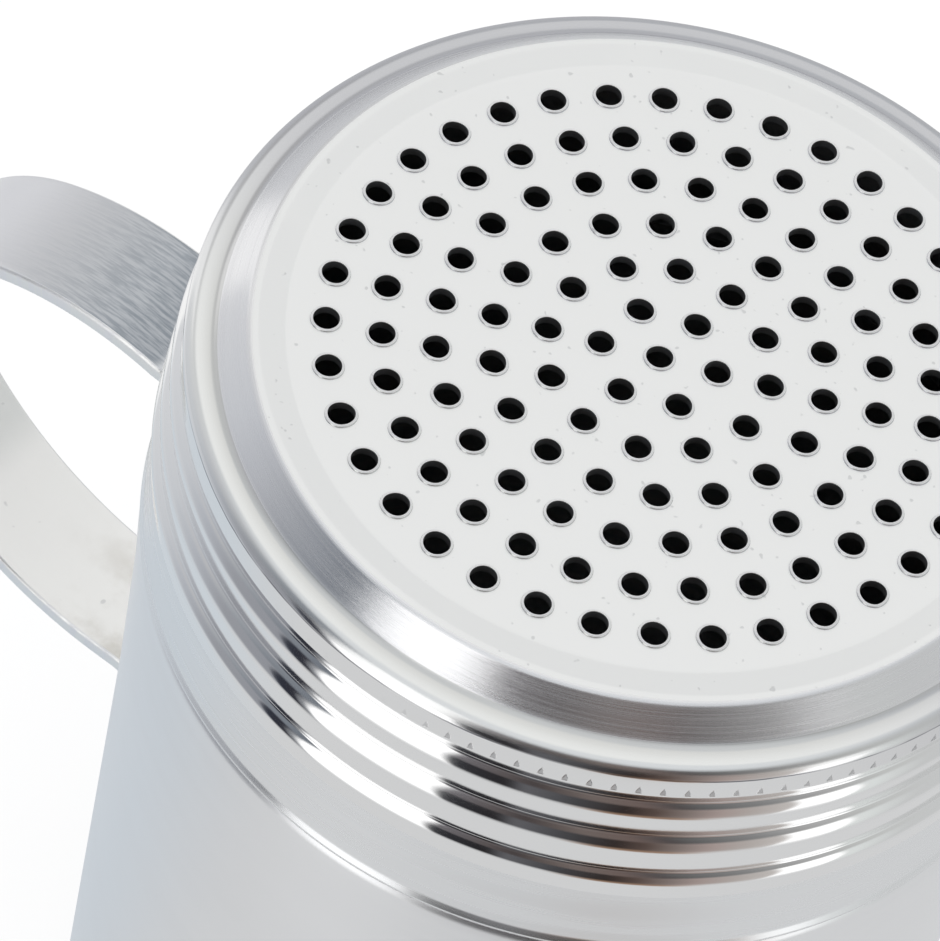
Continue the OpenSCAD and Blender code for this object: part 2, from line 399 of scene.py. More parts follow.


# The band of small pressed teeth: a row of upright notches, narrow at the top and wide at the foot,
# that fade towards the handle and are darkened with painted shade. Above them runs an uneven painted shade
# line. Heights are below the plate.
teeth = {
    "count": 124, "pitch": 1.7, "top": 3.95, "foot": 4.95, "halfWidth": 0.26, "fullFrom": (1.0, 8.0),
    "faded": 0.05, "lineTop": 3.08, "lineFoot": 3.20, "lineSoft": 0.07, "lineSway": 0.2,
}


def toothedSheet(tree):
    lines = useGroup(tree, spunLines, Fineness=6.0, Along=1.5)
    x, y, z = placeParts(tree)
    turn = calc(tree, "ARCTAN2", y, x)
    cell = calc(tree, "FRACT", calc(tree, "MULTIPLY_ADD", turn, teeth["count"] / (2 * math.pi), 0.5))
    side = calc(tree, "ABSOLUTE", calc(tree, "SUBTRACT", cell, 0.5))
    topZ, footZ = plateZ - teeth["top"], plateZ - teeth["foot"]
    wide = calc(tree, "MULTIPLY", stepAt(tree, z, (topZ, footZ)), teeth["halfWidth"] / teeth["pitch"])
    inside = step(tree, calc(tree, "SUBTRACT", wide, side), 0.0, 0.07)
    foot = stepAt(tree, z, (footZ - 0.06, footZ))
    pressed = stepAt(tree, x, teeth["fullFrom"], teeth["faded"], 1.0)
    notch = calc(tree, "MULTIPLY", calc(tree, "MULTIPLY", inside, foot), pressed)
    height = calc(tree, "SUBTRACT", calc(tree, "MULTIPLY", lines["Height"], 0.05), notch)
    # Painted shade: the band's far side is darker.
    color = blendColor(tree, stepAt(tree, y, tintAt["back"]), rgb("bead"), rgb("farSideShade"))
    # Painted shade in the notches.
    color = blendColor(tree, calc(tree, "MULTIPLY", notch, 0.6), color, rgb("speckAndNotchShade"))
    # Painted shade: an uneven dark line runs along the band above the teeth.
    ring = placed(tree, X=x, Y=y)
    sway = calc(tree, "SUBTRACT", noise(tree, ring, 260.0, 3.0), 0.5)
    level = calc(tree, "ADD", z, calc(tree, "MULTIPLY", sway, teeth["lineSway"] * mm))
    line = isBetween(tree, level, (plateZ - teeth["lineFoot"]) * mm, (plateZ - teeth["lineTop"]) * mm,
                     teeth["lineSoft"] * mm)
    line = calc(tree, "MULTIPLY", line, step(tree, noise(tree, ring, 150.0, 2.0), 0.35, 0.6, 0.25, 0.9))
    color = blendColor(tree, line, color, rgb("crease"))
    return {"color": color, "roughness": step(tree, notch, 0.0, 1.0, 0.12, 0.35),
            "height": height, "strength": 0.6, "depth": 0.00009}


def skirtSheet(tree):
    lines = useGroup(tree, spunLines, Fineness=4.0, Along=1.0)
    marks = useGroup(tree, handled, Size=40.0, Specks=700.0)
    color = blendColor(tree, calc(tree, "MULTIPLY", marks["Blotch"], 0.3), rgb("skirt"), rgb("canShade"))
    return {"color": color, "roughness": step(tree, lines["Broad"], 0.3, 0.7, 0.24, 0.32),
            "height": lines["Height"], "strength": 0.12, "depth": 0.00002}


def canSheet(tree):
    lines = useGroup(tree, spunLines, Fineness=2.0, Along=0.8)
    marks = useGroup(tree, handled, Size=30.0, Specks=600.0)
    color = blendColor(tree, calc(tree, "MULTIPLY", marks["Blotch"], 0.4), rgb("can"), rgb("canShade"))
    return {"color": color, "roughness": step(tree, lines["Broad"], 0.3, 0.7, 0.30, 0.38),
            "height": lines["Height"], "strength": 0.15, "depth": 0.00002}


# Painted shade: the insides of lid, holes and can are darkened, mixed by broad spun lines with the strap's
# darker tone.
def insidePaintedShadeSheet(tree):
    lines = useGroup(tree, spunLines, Fineness=3.0, Along=0.8)
    color = blendColor(tree, lines["Broad"], rgb("inside"), rgb("strapShade"))
    return {"color": color, "roughness": step(tree, lines["Broad"], 0.3, 0.7, 0.38, 0.5),
            "height": lines["Height"], "strength": 0.15, "depth": 0.00002}


# The outer face darkens in short streaks towards the can, but not on the feet.
def strapFace(tree):
    lines = useGroup(tree, strapLines, Fineness=5.0, Length=0.25)
    x = placeParts(tree)[0]
    near = calc(tree, "MULTIPLY", stepAt(tree, x, tintAt["strapNear"]),
                stepAt(tree, x, tintAt["strapFoot"], 1.0, 0.2))
    dark = step(tree, lines["Streak"], 0.38, 0.62, 0.70, 1.0)
    color = blendColor(tree, calc(tree, "MULTIPLY", dark, near), rgb("strap"), rgb("strapShade"))
    fleck = calc(tree, "MULTIPLY", step(tree, lines["Height"], 0.60, 0.70), near)
    color = blendColor(tree, calc(tree, "MULTIPLY", fleck, 0.3), color, rgb("strapEdge"))
    return {"color": color, "roughness": step(tree, lines["Streak"], 0.3, 0.7, 0.34, 0.46),
            "height": lines["Height"], "strength": 0.3, "depth": 0.00003}


# The face towards the loop's inside is dull and cream, greyed far out by a painted dark reflection, with
# specks and a brown smudge near the can.
def strapInner(tree):
    lines = useGroup(tree, strapLines, Fineness=2.0, Length=0.15)
    marks = useGroup(tree, handled, Size=130.0, Specks=900.0)
    x = placeParts(tree)[0]
    near = stepAt(tree, x, tintAt["innerNear"])
    smudge = calc(tree, "MULTIPLY", calc(tree, "MULTIPLY", marks["Blotch"], near), 0.6)
    # Painted dark reflection: the inner face greys far out.
    far = stepAt(tree, x, tintAt["innerFarReflection"])
    color = blendColor(tree, far, rgb("strapInner"), rgb("strapFarReflection"))
    color = blendColor(tree, smudge, color, rgb("burnt"))
    color = blendColor(tree, calc(tree, "MULTIPLY", marks["Speck"], 0.4), color, rgb("speckAndNotchShade"))
    return {"color": color, "roughness": step(tree, lines["Streak"], 0.3, 0.7, 0.45, 0.6),
            "metallic": 0.2, "height": lines["Height"], "strength": 0.2, "depth": 0.00003}


def strapEdge(tree):
    lines = useGroup(tree, strapLines, Fineness=6.0, Length=0.6)
    color = blendColor(tree, step(tree, lines["Streak"], 0.45, 0.6), rgb("strapEdge"), rgb("strap"))
    return {"color": color, "roughness": step(tree, lines["Streak"], 0.3, 0.7, 0.30, 0.45),
            "height": lines["Height"], "strength": 0.4, "depth": 0.00005}


materials = {
    "plate": metal("plateSheet", plateSheet),
    "bevel": metal("bevelSheet", bevelSheet, 0.8),
    "ledge": metal("ledgeSheet", ledgeSheet, 0.5),
    "bead": metal("beadSheet", beadSheet, 0.4),
    "toothed": metal("toothedSheet", toothedSheet),
    "skirt": metal("skirtSheet", skirtSheet, 0.4),
    "can": metal("canSheet", canSheet, 0.5),
    "inside": metal("insidePaintedShadeSheet", insidePaintedShadeSheet),
    "strap": metal("strapFace", strapFace),
    "strapEdge": metal("strapEdge", strapEdge),
    "strapInner": metal("strapInner", strapInner),
}
print("materials:", len(materials))

# ---- Lid ----

lid = {
    "sheet": 0.6, "plateRadius": 29.6, "plateHeight": 2.25, "bevelAngle": 46.0, "bandRadius": 33.94,
    "ledgeRound": 1.05, "bandFoot": 5.15, "firstBead": 7.4, "beadPitch": 4.0, "beads": 3,
    "beadRadius": 34.45, "beadStep": 0.24, "beadRound": 1.5, "beadFlank": 52.0, "beadFall": 10.0,
    "lastFall": 7.0, "lastRound": 0.79, "creaseRound": 0.25, "flankGap": 0.02, "skirtRadius": 34.7,
    "around": 240,
    "plateSink": 0.16, "sinkFrom": 28.9, "sinkTo": 26.9, "seam": 26.6,
}
holes = {
    "diameter": 1.95, "rings": 6, "first": 4.3, "pitch": 3.94, "turn": -5.0, "scatter": 0.035,
    "around": 28, "lipRadius": 1.16, "wander": 0.012, "burr": 0.11, "burrShare": 0.3,
    "flatTo": 0.10, "underTo": 0.2,
}


# Corner of bead i's crest and of the crease above it, where the straight flanks would meet.
def beadCorners(i):
    last = i == lid["beads"] - 1
    roundness = lid["beadRound"] * (lid["lastRound"] if last else 1)
    fall = lid["lastFall"] if last else lid["beadFall"]
    half = math.radians(lid["beadFlank"] + fall) / 2
    tilt = math.radians(lid["beadFlank"] - fall) / 2
    reach = roundness / math.cos(half)
    corner = np.array([lid["beadRadius"] + i * lid["beadStep"] + reach * math.cos(tilt) - roundness,
                       plateZ - lid["firstBead"] - i * lid["beadPitch"] + reach * math.sin(tilt)])
    side = (roundness + lid["creaseRound"]) * math.tan(half) + lid["flankGap"]
    flank = math.radians(lid["beadFlank"])
    crease = corner - side * np.array([math.sin(flank), -math.cos(flank)])
    return [(*crease, lid["creaseRound"]), (*corner, roundness)]


def lidOutline():
    ledgeZ = plateZ - lid["plateHeight"]
    bevelFoot = lid["plateRadius"] + lid["plateHeight"] / math.tan(math.radians(lid["bevelAngle"]))
    crestR = lid["beadRadius"] + (lid["beads"] - 1) * lid["beadStep"]
    crestZ = plateZ - lid["firstBead"] - (lid["beads"] - 1) * lid["beadPitch"]
    sunk = plateZ - lid["plateSink"]
    line = [(lid["seam"], sunk, 0), (lid["sinkTo"], sunk, 6), (lid["sinkFrom"], plateZ, 3),
            (lid["plateRadius"], plateZ, 0.75), (bevelFoot, ledgeZ, 1.3),
            (lid["bandRadius"], ledgeZ, lid["ledgeRound"]),
            (lid["bandRadius"], plateZ - lid["bandFoot"], 0.75)]
    for i in range(lid["beads"]):
        line += beadCorners(i)
    return line + [(crestR - 0.16, crestZ - 1.75, 1.2), (lid["skirtRadius"], lidFootZ + 0.8, 0.7),
                   (lidWidest - 0.02, lidFootZ + 0.21, 0.3), (lidWidest - 0.06, lidFootZ, 0)]


# Centres of the holes, ring by ring, each a little off as the punch left it.
def holeCentres():
    rng = np.random.default_rng(7)
    centres = [np.zeros((1, 2))]
    for n in range(1, holes["rings"] + 1):
        start = holes["turn"] + (30 / n if n % 2 else 0)
        turn = np.radians(start + np.arange(6 * n) * 60 / n)
        radius = holes["first"] + (n - 1) * holes["pitch"]
        centres.append(radius * np.stack([np.cos(turn), np.sin(turn)], 1))
    centres = np.concatenate(centres)
    return centres + rng.normal(0, holes["scatter"], centres.shape)


# Flat sheet between the seam circle and the circles of the holes. Triangles that lie in a hole
# are those whose three corners are all on that hole's circle.
def platePatch(sheet, centres, radius, z, finishNumber, flip):
    turn = 2 * math.pi * np.arange(lid["around"]) / lid["around"]
    rim = lid["seam"] * np.stack([np.cos(turn), np.sin(turn)], 1)
    small = 2 * math.pi * np.arange(holes["around"]) / holes["around"]
    circle = radius * np.stack([np.cos(small), np.sin(small)], 1)
    circles = (centres[:, None] + circle[None]).reshape(-1, 2)
    flat = np.concatenate([rim, circles])
    owner = np.concatenate([np.full(len(rim), -1), np.repeat(np.arange(len(centres)), holes["around"])])
    ringStarts = [0] + [len(rim) + k * holes["around"] for k in range(len(centres))]
    ringSizes = [len(rim)] + [holes["around"]] * len(centres)
    edges = [(start + k, start + (k + 1) % size)
             for start, size in zip(ringStarts, ringSizes) for k in range(size)]
    made = delaunay_2d_cdt([Vector(p) for p in flat.tolist()], edges, [], 0, 1e-6)
    source = np.array([names[0] for names in made[3]])
    triangles = source[np.array(made[2])]
    own = owner[triangles]
    inHole = (own[:, 0] >= 0) & (own[:, 0] == own[:, 1]) & (own[:, 1] == own[:, 2])
    triangles = triangles[~inHole]
    corner = flat[triangles]
    ab, ac = corner[:, 1] - corner[:, 0], corner[:, 2] - corner[:, 0]
    clockwise = ab[:, 0] * ac[:, 1] - ab[:, 1] * ac[:, 0] < 0
    triangles[clockwise] = triangles[clockwise][:, ::-1]
    points = np.column_stack([flat, np.full(len(flat), z)])
    sheet.add(points, triangles[:, ::-1] if flip else triangles, finishNumber)


# The wall of every hole, from a profile of (radius, height over the plate's top, share of the wander).
# The punch has pushed the edge up: from the flat plate a small step leads on to a lip that climbs gently
# to the hole's edge, and the wall goes down from there. Each outline wanders by three cosines of the
# turn, and some have a burr, a bump that falls off with the turn from its middle.
def holePatches(sheet, centres, flatNumber, stepNumber, wallNumber):
    r, t, up = holes["diameter"] / 2, lid["sheet"], lid["plateSink"]
    foot = holes["lipRadius"]
    profile = np.array([[foot + holes["flatTo"], -up, 0], [foot + 0.024, -up, 1],
                        [foot + 0.02, -up - 0.002, 1],
                        [foot - 0.015, -up + 0.078, 1], [foot - 0.02, -up + 0.084, 1],
                        [(foot + r) / 2, -up * 0.24, 0.9], [r + 0.045, -0.012, 0.8], [r + 0.02, 0, 0.8],
                        [r + 0.005, -0.01, 0.8], [r, -0.06, 0.8], [r, -t + 0.04 - up, 0.8],
                        [r + 0.03, -t - up, 0.8], [r + holes["underTo"], -t - up, 0]])
    turn = 2 * math.pi * np.arange(holes["around"]) / holes["around"]
    ring = np.stack([np.cos(turn), np.sin(turn)], 1)
    rng = np.random.default_rng(11)
    waves = rng.normal(0, 1, (len(centres), 3))
    phase = rng.uniform(0, 2 * math.pi, (len(centres), 4))
    wander = sum(holes["wander"] * waves[:, k, None] * np.cos((k + 1) * turn + phase[:, k, None])
                 for k in range(3))
    burr = (rng.uniform(0, 1, len(centres)) < holes["burrShare"])[:, None] * holes["burr"]
    wander = np.clip(wander + burr * np.exp(6 * (np.cos(turn + phase[:, 3, None]) - 1)), -0.05, 0.06)
    radius = profile[None, :, None, 0] + profile[None, :, None, 2] * wander[:, None]
    xy = centres[:, None, None] + radius[..., None] * ring
    z = np.broadcast_to((plateZ + profile[:, 1])[None, :, None, None], (*xy.shape[:3], 1))
    grids = np.concatenate([xy, z], 3)
    faces = gridFaces(len(profile), holes["around"], closeColumns=True, flip=True)
    pointsEach = len(profile) * holes["around"]
    allFaces = (faces[None] + pointsEach * np.arange(len(centres))[:, None, None]).reshape(-1, 4)
    bands = np.repeat(np.arange(len(profile) - 1), holes["around"])
    stepBand, wallFrom = 2, 8
    kinds = np.where(bands >= wallFrom, wallNumber, np.where(bands == stepBand, stepNumber, flatNumber))
    numbers = np.tile(kinds, len(centres))
    sheet.add(grids, allFaces, numbers)


def makeLid():
    names = ["plate", "bevel", "ledge", "toothed", "bead", "skirt", "inside"]
    number = {name: i for i, name in enumerate(names)}
    outer = roundedLine(lidOutline(), 6)
    inner = movedLine(roundedLine(lidOutline(), 12), lid["sheet"])
    inner[-1] = (inner[-1][0], lidFootZ)
    section = np.concatenate([outer, inner[::-1]])
    depth = plateZ - outer[:-1, 1]
    zone = np.select(
        [outer[:-1, 0] < lid["plateRadius"] - 0.3, depth < lid["plateHeight"] - 0.25,
         depth < lid["plateHeight"] + 0.5, depth < lid["bandFoot"] - 0.1,
         depth < lid["firstBead"] + (lid["beads"] - 1) * lid["beadPitch"] + 1.6],
        [number[n] for n in ("plate", "bevel", "ledge", "toothed", "bead")], number["skirt"])
    rest = np.full(len(section) - len(outer), number["inside"])
    zones = np.repeat(np.concatenate([zone, rest]), lid["around"])
    sheet = Sheet()
    faces = gridFaces(len(section), lid["around"], closeColumns=True)
    sheet.add(revolvedGrid(section, lid["around"]), faces, zones)
    centres = holeCentres()
    sunk = plateZ - lid["plateSink"]
    outerRing, innerRing = holes["lipRadius"] + holes["flatTo"], holes["diameter"] / 2 + holes["underTo"]
    platePatch(sheet, centres, outerRing, sunk, number["plate"], False)
    platePatch(sheet, centres, innerRing, sunk - lid["sheet"], number["inside"], True)
    holePatches(sheet, centres, number["plate"], number["ledge"], number["inside"])
    piece = sheet.build("lidShell", [materials[n] for n in names])
    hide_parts("perforated_lid")
    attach(piece, "lid")
    return piece


# ---- Can ----

can = {
    "sheet": 0.8, "wall": 34.2, "baseCorner": 2.6, "dishRadius": 28.6, "dishHeight": 1.2, "band": 2.7,
    "taper": 22.0, "edgeGap": 0.2, "neck": 32.535, "neckDraft": 0.3, "around": 240,
}


# Line from the neck's rim down the outside to the middle of the base.
def canOutline():
    neck = can["neck"]
    shoulder = lidFootZ - can["edgeGap"]
    foot = shoulder - can["band"]
    swell = canWidest - can["wall"]
    return [(neck - can["sheet"] + 0.35, canRimZ, 0), (neck, canRimZ, 0.25),
            (neck + can["neckDraft"], shoulder, 0.5), (canWidest, shoulder, 1.0), (canWidest, foot, 3.0),
            (can["wall"] + swell / 2, foot - can["taper"] / 4, 40), (can["wall"], foot - can["taper"], 60),
            (can["wall"], 0, can["baseCorner"]), (can["dishRadius"] + can["dishHeight"], 0, 1.2),
            (can["dishRadius"], can["dishHeight"], 1.5), (0, can["dishHeight"], 0)]


def makeCan():
    corners = canOutline()
    outer = roundedLine(corners, 3)
    wall = roundedLine([(corners[1][0], canRimZ, 0)] + corners[2:], 10)
    inner = movedLine(wall, can["sheet"])
    inner[0, 1] = canRimZ
    inner[-1, 0] = 0
    section = np.concatenate([inner[::-1], outer])
    zones = np.where(np.arange(len(section) - 1) < len(inner), 1, 0)
    sheet = Sheet()
    sheet.add(revolvedGrid(section, can["around"]),
              gridFaces(len(section), can["around"], closeColumns=True), np.repeat(zones, can["around"]))
    piece = sheet.build("canShell", [materials["can"], materials["inside"]])
    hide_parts("can_body")
    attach(piece, "shaker")
    return piece


# ---- Handle ----

strap = {
    "thick": 1.5, "drop": 30.0, "upperFoot": 4.4, "lowerFoot": 8.0, "bend": 2.25, "rise": 12.0,
    "topRadius": 26.5, "topTurn": 36.0, "endRadius": 17.8, "endTurn": 105.0, "lowRadius": 28.5,
    "edgeRound": 0.32, "dimple": 0.25, "dimpleRadius": 1.6, "dimpleGap": 5.0,
}


# Middle line of the strap as (distance from the axis, height), and its headings: a chain of arcs
# that starts down the upper foot, goes out round the loop and ends down the lower foot.
def strapLine():
    lowTurn = 180 + strap["rise"] - strap["topTurn"] - strap["endTurn"]
    arcs = [(strap["bend"], 90 + strap["rise"]), (strap["topRadius"], -strap["topTurn"]),
            (strap["endRadius"], -strap["endTurn"]), (strap["lowRadius"], -lowTurn)]
    lowerWall = can["wall"] + strap["thick"] / 2
    start = np.array([canWidest + strap["thick"] / 2, plateZ - strap["drop"]])
    line = [start + np.array([0, strap["upperFoot"]]) * f for f in np.linspace(1, 0, 12)]
    heading = -90.0
    for radius, turn in arcs:
        line += arcPoints(line[-1], heading, radius, turn)
        heading += turn
    line += straightPoints(line[-1], np.array([lowerWall + strap["bend"], line[-1][1]]), 3)
    line += arcPoints(line[-1], heading, strap["bend"], 90)
    line += straightPoints(line[-1], line[-1] - np.array([0, strap["lowerFoot"]]), 16)
    return np.array(line)


def arcPoints(start, heading, radius, turn):
    side = math.copysign(1, turn)
    count = max(6, math.ceil(radius * math.radians(abs(turn)) / 0.8))
    a = np.radians(heading + turn * np.arange(1, count + 1) / count)
    h = math.radians(heading)
    swing = radius * side * np.stack([np.sin(a) - math.sin(h), math.cos(h) - np.cos(a)], 1)
    return list(start + swing)


def straightPoints(start, end, count):
    return [start + (end - start) * k / count for k in range(1, count + 1)]


# Section of the strap as (side, across): side is +1 on the face away from the can and -1 on the
# other, measured in half thicknesses, and its long edges are rounded.
def strapSection():
    half, t, r = strapWidth / 2, strap["thick"] / 2, strap["edgeRound"]
    quarter = np.radians(np.linspace(0, 90, 6))
    corner = np.stack([t - r + r * np.sin(quarter), half - r + r * np.cos(quarter)], 1)
    flat = np.linspace(half - r, -half + r, 30)[1:-1]
    face = np.stack([np.full(len(flat), t), flat], 1)
    upper = np.concatenate([corner, face, corner[::-1] * (1, -1)])
    return np.concatenate([upper, upper[::-1] * (-1, 1)])


def makeStrap():
    line, section = strapLine(), strapSection()
    along = np.gradient(line, axis=0)
    along /= np.linalg.norm(along, axis=1)[:, None]
    away = np.stack([-along[:, 1], along[:, 0]], 1)
    length = np.concatenate([[0], np.cumsum(np.linalg.norm(np.diff(line, axis=0), axis=1))])
    n, m = len(line), len(section)
    place = line[:, None] + away[:, None] * section[None, :, :1]
    across = np.broadcast_to(section[:, 1], (n, m)).copy()
    u, z = place[..., 0].copy(), place[..., 1].copy()
    # the feet's inner faces are pressed on to the round wall, and their welds are dimpled
    feet = (length < strap["upperFoot"] + 0.8) | (length > length[-1] - strap["lowerFoot"] - 0.8)
    wallR = np.where(length < length[-1] / 2, canWidest, can["wall"])[:, None]
    roundWall = np.sqrt(wallR**2 - across**2) - 0.02
    innerSide = (section[:, 0] < -0.3)[None] & feet[:, None] & (u < wallR + 0.5)
    u = np.where(innerSide, np.minimum(u, roundWall), u)
    for middle in (strap["upperFoot"] / 2, length[-1] - strap["lowerFoot"] / 2):
        for side in (-1, 1):
            away2 = (length[:, None] - middle) ** 2 + (across - side * strap["dimpleGap"] / 2) ** 2
            press = strap["dimple"] * np.clip(1.15 * (1 - away2 / strap["dimpleRadius"] ** 2), 0, 1)
            u = np.where((section[:, 0] > 0.3)[None], u - press, u)
    points = np.stack([-u, across, z], 2)
    sheet = Sheet()
    edge = np.abs(section[:, 1]) > strapWidth / 2 - strap["edgeRound"] * 0.75
    edge = edge & np.roll(edge, -1)
    numbers = np.where(edge, 1, np.where(section[:, 0] < 0, 2, 0))
    sheet.add(points, gridFaces(n, m, closeColumns=True), np.tile(numbers, n - 1))
    for end, flip in ((0, False), (n - 1, True)):
        ring = np.arange(m) + end * m
        sheet.faces.append((ring[::-1] if flip else ring).tolist())
        sheet.finish.append(np.array([1]))
    piece = sheet.build("strapBand", [materials[name] for name in ("strap", "strapEdge", "strapInner")])
    mapStrap(piece, line, length)
    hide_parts("strap_handle")
    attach(piece, "shaker")
    return piece


# The strap's own map: u is how far along it a point lies and v how far across, in millimetres.
def mapStrap(piece, line, length):
    mesh = piece.data
    co = np.empty(len(mesh.vertices) * 3)
    mesh.vertices.foreach_get("co", co)
    co = co.reshape(-1, 3) / mm
    gap = (co[:, None, 0] + line[None, :, 0]) ** 2 + (co[:, None, 2] - line[None, :, 1]) ** 2
    s = length[gap.argmin(1)]
    loops = np.empty(len(mesh.loops), np.int32)
    mesh.loops.foreach_get("vertex_index", loops)
    uv = np.stack([s[loops], co[loops, 1]], 1)
    layer = mesh.uv_layers.new(name="strapMap")
    layer.data.foreach_set("uv", uv.ravel().astype(np.float32))


makeLid()
makeCan()
makeStrap()
print("pieces made")

# ---- Room and light ----

# The room that the metal mirrors, by bearing from the camera (minus is to its left) and height,
# in degrees. Walls are (bearing, colour). They change over from low to high to upper walls and to
# the ceiling at the heights given, and a lighter part begins behind the object. Windows are (from,
# to, top, strength). What isn't mirrored gets a soft white light.
room = {
    "cameraBearing": -67.0,
    "lowWalls": [(-180, (0.64, 0.65, 0.66)), (-140, (0.63, 0.64, 0.66)), (-117, (0.70, 0.71, 0.73)),
                 (-96, (0.60, 0.62, 0.65)), (-84, (0.46, 0.48, 0.52)), (-72, (0.33, 0.34, 0.37)),
                 (-57.5, (0.30, 0.31, 0.34)), (-56, (0.03, 0.035, 0.05)),
                 (-50.5, (0.03, 0.03, 0.04)), (-49, (0.25, 0.26, 0.28)), (-14, (0.03, 0.03, 0.035)),
                 (-5, (0.02, 0.018, 0.02)), (-2, (0.12, 0.12, 0.13)), (8, (0.06, 0.06, 0.065)),
                 (18, (0.03, 0.022, 0.02)), (24, (0.10, 0.07, 0.06)), (30, (0.22, 0.18, 0.165)),
                 (36, (0.38, 0.31, 0.29)), (43, (0.45, 0.41, 0.39)), (50, (0.55, 0.52, 0.50)),
                 (66, (0.74, 0.77, 0.76)), (77, (0.59, 0.60, 0.60)), (180, (0.64, 0.65, 0.66))],
    "highWalls": [(-180, (0.66, 0.68, 0.69)), (-150, (0.55, 0.55, 0.55)), (-114, (0.69, 0.70, 0.71)),
                  (-96, (0.57, 0.58, 0.61)), (-84, (0.50, 0.51, 0.53)), (-72, (0.33, 0.35, 0.38)),
                  (-60, (0.22, 0.24, 0.27)), (-52, (0.18, 0.20, 0.23)), (-14, (0.14, 0.13, 0.14)),
                  (-6, (0.10, 0.085, 0.085)), (0, (0.06, 0.05, 0.05)), (12, (0.16, 0.13, 0.12)),
                  (22, (0.15, 0.11, 0.10)), (30, (0.08, 0.07, 0.07)), (36, (0.13, 0.13, 0.13)),
                  (48, (0.24, 0.24, 0.24)), (60, (0.42, 0.42, 0.42)), (72, (0.55, 0.56, 0.55)),
                  (84, (0.59, 0.60, 0.60)), (180, (0.66, 0.68, 0.69))],
    "upperWalls": (0.62, 0.64, 0.66), "ceiling": (0.76, 0.78, 0.80), "behind": (0.92, 0.925, 0.915),
    "soft": 1.25, "highAt": (12.0, 26.0), "upperAt": (42.0, 60.0), "ceilingAt": (56.0, 66.0),
    "behindAt": (36.0, 46.0), "behindFrom": (125.0, 150.0), "windowSoft": 3.0,
    "windows": [(-47.0, -18.0, 58.0, 1.3), (51.0, 63.5, 18.0, 1.25), (-136.0, -121.0, 35.0, 0.98)],
}
# The table: what the metal sees of it near the object, with a cooler side, a light strip and a brown
# patch by bearing, and where that view gives way to the room.
floorLook = {"size": 3000.0, "table": (0.67, 0.675, 0.68), "fadeFrom": 105.0, "fadeTo": 220.0,
             "lightStrip": (-141.0, -119.0, 0.95), "matt": (0.85, 0.86, 0.88), "shadowShare": 0.15,
             "bright": 1.02, "coolSide": (-130.0, -70.0), "cool": (0.62, 0.67, 0.715),
             "brownSide": (10.0, 32.0), "brown": (0.34, 0.22, 0.15), "brownFrom": 100.0}


# Degrees round the axis from the camera's side, for a direction or a place in x and y.
def bearingFromCamera(tree, vector):
    turned = node(tree, "ShaderNodeVectorRotate", rotation_type="Z_AXIS")
    feed(tree, turned.inputs["Vector"], vector)
    turned.inputs["Angle"].default_value = -math.radians(room["cameraBearing"])
    split = node(tree, "ShaderNodeSeparateXYZ")
    feed(tree, split.inputs[0], turned.outputs[0])
    x, y, z = split.outputs
    return calc(tree, "MULTIPLY", calc(tree, "ARCTAN2", y, x), 180 / math.pi), z


# Wall colours read off a ramp that goes once round the room.
def wallRamp(tree, bearing, stops):
    made = node(tree, "ShaderNodeValToRGB")
    feed(tree, made.inputs[0], calc(tree, "MULTIPLY_ADD", bearing, 1 / 360, 0.5))
    ends = made.color_ramp.elements
    ends[0].color, ends[1].color = (*stops[0][1], 1), (*stops[-1][1], 1)
    for turn, color in stops[1:-1]:
        ends.new((turn + 180) / 360).color = (*color, 1)
    return made.outputs[0]


def makeRoom():
    world = bpy.data.worlds.new("room")
    bpy.context.scene.world = world
    world.use_nodes = True
    tree = world.node_tree
    tree.nodes.clear()
    bearing, z = bearingFromCamera(tree, node(tree, "ShaderNodeTexCoord").outputs["Generated"])
    height = calc(tree, "MULTIPLY", calc(tree, "ARCSINE", z), 180 / math.pi)
    low, high = wallRamp(tree, bearing, room["lowWalls"]), wallRamp(tree, bearing, room["highWalls"])
    color = blendColor(tree, step(tree, height, *room["highAt"]), low, high)
    color = blendColor(tree, step(tree, height, *room["upperAt"]), color, (*room["upperWalls"], 1))
    for start, end, top, strength in room["windows"]:
        pane = calc(tree, "MULTIPLY", isBetween(tree, bearing, start, end, room["windowSoft"]),
                    step(tree, height, top - 4, top + 4, 1.0, 0.0))
        color = blendColor(tree, pane, color, (strength, strength, strength, 1))
    color = blendColor(tree, step(tree, height, *room["ceilingAt"]), color, (*room["ceiling"], 1))
    behind = calc(tree, "MULTIPLY", step(tree, calc(tree, "ABSOLUTE", bearing), *room["behindFrom"]),
                  step(tree, height, *room["behindAt"]))
    color = blendColor(tree, behind, color, (*room["behind"], 1))
    path = node(tree, "ShaderNodeLightPath")
    color = blendColor(tree, path.outputs["Is Glossy Ray"], (*[room["soft"]] * 3, 1), color)
    color = blendColor(tree, path.outputs["Is Camera Ray"], color, (1.0, 1.0, 1.0, 1))
    light = node(tree, "ShaderNodeBackground")
    feed(tree, light.inputs["Color"], color)
    out = node(tree, "ShaderNodeOutputWorld")
    feed(tree, out.inputs["Surface"], light.outputs[0])


